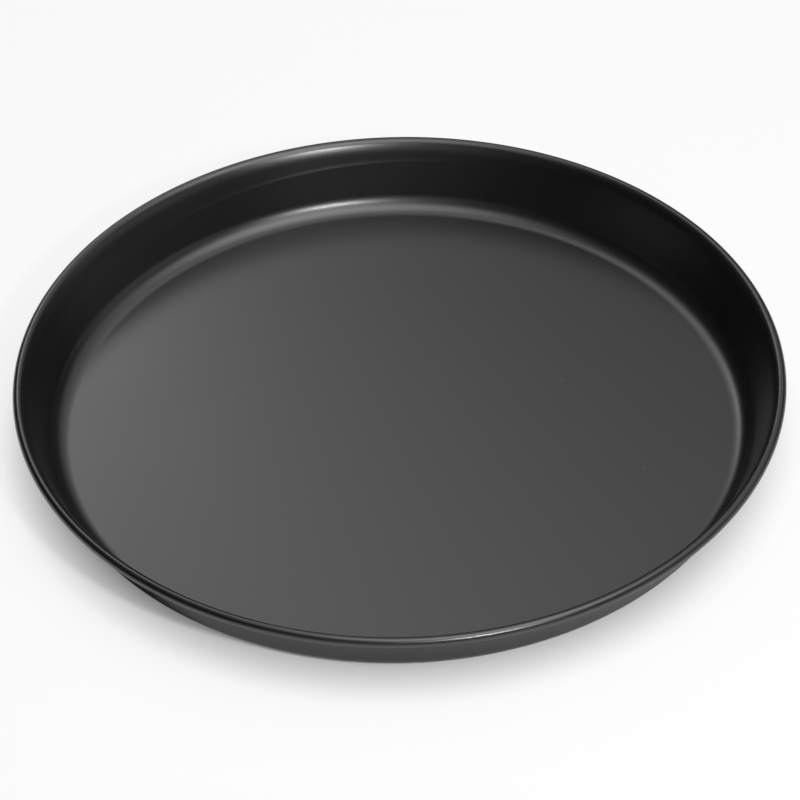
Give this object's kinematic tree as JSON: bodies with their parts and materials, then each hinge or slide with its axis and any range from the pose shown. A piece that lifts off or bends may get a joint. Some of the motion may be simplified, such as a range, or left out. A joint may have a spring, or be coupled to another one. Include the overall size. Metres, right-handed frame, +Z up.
{
  "type": "round baking tray",
  "caption": "Round shallow baking tray pressed from coated sheet steel, with a rounded corner, a sloped wall and a rim rolled over a stiffening wire.",
  "frame": {"origin": "centre of the underside of the floor, on the surface that the tray stands on", "axes": "+Z up along the tray's axis; the tray is round, so +X and +Y are any two level directions"},
  "size_m": [0.28, 0.28, 0.025],
  "materials": {
    "dark_coating": "satin dark grey non-stick coating",
    "wire_steel": "drawn bright"
  },
  "bodies": {
    "root": {"tray_pan": "dark_coating", "rim_wire": "wire_steel"}
  },
  "joints": []
}
